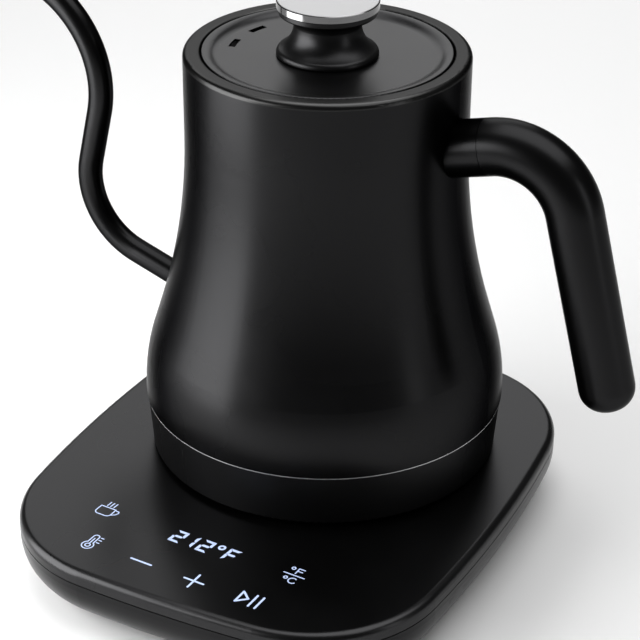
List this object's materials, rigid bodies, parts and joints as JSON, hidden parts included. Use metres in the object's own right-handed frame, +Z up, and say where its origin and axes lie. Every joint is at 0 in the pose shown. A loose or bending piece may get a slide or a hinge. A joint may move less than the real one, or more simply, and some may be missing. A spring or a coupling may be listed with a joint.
{
  "type": "gooseneck kettle",
  "caption": "Electric gooseneck pour-over kettle with a lift-out lid and bent handle, which swivels on and lifts off a low power base with a lit touch panel.",
  "frame": {"origin": "on the kettle's swivel axis, level with the table under the foot ring", "axes": "+Z up along the swivel axis, +X towards the handle, -X towards the spout, -Y towards the touch panel"},
  "size_m": [0.2611, 0.205, 0.2028],
  "materials": {
    "body_black": "satin",
    "collar_black": "satin",
    "grip_black": "satin",
    "base_black": "fine matte",
    "shell_black": "satin",
    "knob_black": "semi-gloss",
    "cap_steel": "satin with a polished edge",
    "inner_steel": "brushed",
    "screw_steel": "plain",
    "heater_aluminium": "as cast",
    "contact_brass": "bright",
    "seal_rubber": "matt",
    "foot_rubber": "matt",
    "connector_plastic": "moulded",
    "board_green": "solder mask",
    "part_black": "moulded",
    "ribbon_grey": "plain",
    "lit_legend": "back-lit"
  },
  "bodies": {
    "base": {"base_top_cover": "base_black", "base_bottom_shell": "shell_black", "foot_ring": "foot_rubber", "base_screws": "screw_steel", "base_connector": "connector_plastic", "base_connector_screws": "screw_steel", "base_contacts": "contact_brass", "control_board": "board_green", "control_board_screws": "screw_steel", "display_module": "lit_legend", "touch_springs": "screw_steel", "power_board": "board_green", "power_board_screws": "screw_steel", "relay": "part_black", "transformer": "part_black", "capacitor": "part_black", "buzzer": "part_black", "terminal_block": "part_black", "ribbon_cable": "ribbon_grey", "cord_grommet": "seal_rubber"},
    "connector_rings": {"contact_rings": "contact_brass"},
    "kettle": {"body_shell": "body_black", "spout_tube": "body_black", "handle_boss": "body_black", "handle_tang": "inner_steel", "handle_grip": "grip_black", "handle_set_screw": "screw_steel", "base_collar": "collar_black", "heating_plate": "inner_steel", "heat_spreader": "heater_aluminium", "heating_element": "heater_aluminium", "element_pins": "inner_steel", "thermal_cutouts": "part_black", "ntc_probe": "inner_steel", "ntc_gasket": "seal_rubber", "ntc_nut": "screw_steel", "mounting_posts": "inner_steel", "collar_screws": "screw_steel", "kettle_connector": "connector_plastic", "connector_screws": "screw_steel"},
    "lid": {"lid_cover": "body_black", "lid_liner": "inner_steel", "lid_gasket": "seal_rubber", "knob_neck": "knob_black", "knob_cap": "cap_steel", "knob_screw": "screw_steel", "knob_washer": "screw_steel"}
  },
  "joints": [
    {"name": "kettle_lift", "type": "slide", "parent": "base", "child": "connector_rings", "axis": [0, 0, 1], "range_m": [0, 0.1]},
    {"name": "kettle_swivel", "type": "hinge", "parent": "connector_rings", "child": "kettle", "pos_m": [0, 0, 0.03], "axis": [0, 0, 1], "continuous": true},
    {"name": "lid_lift", "type": "slide", "parent": "kettle", "child": "lid", "axis": [0, 0, 1], "range_m": [0, 0.06]}
  ]
}
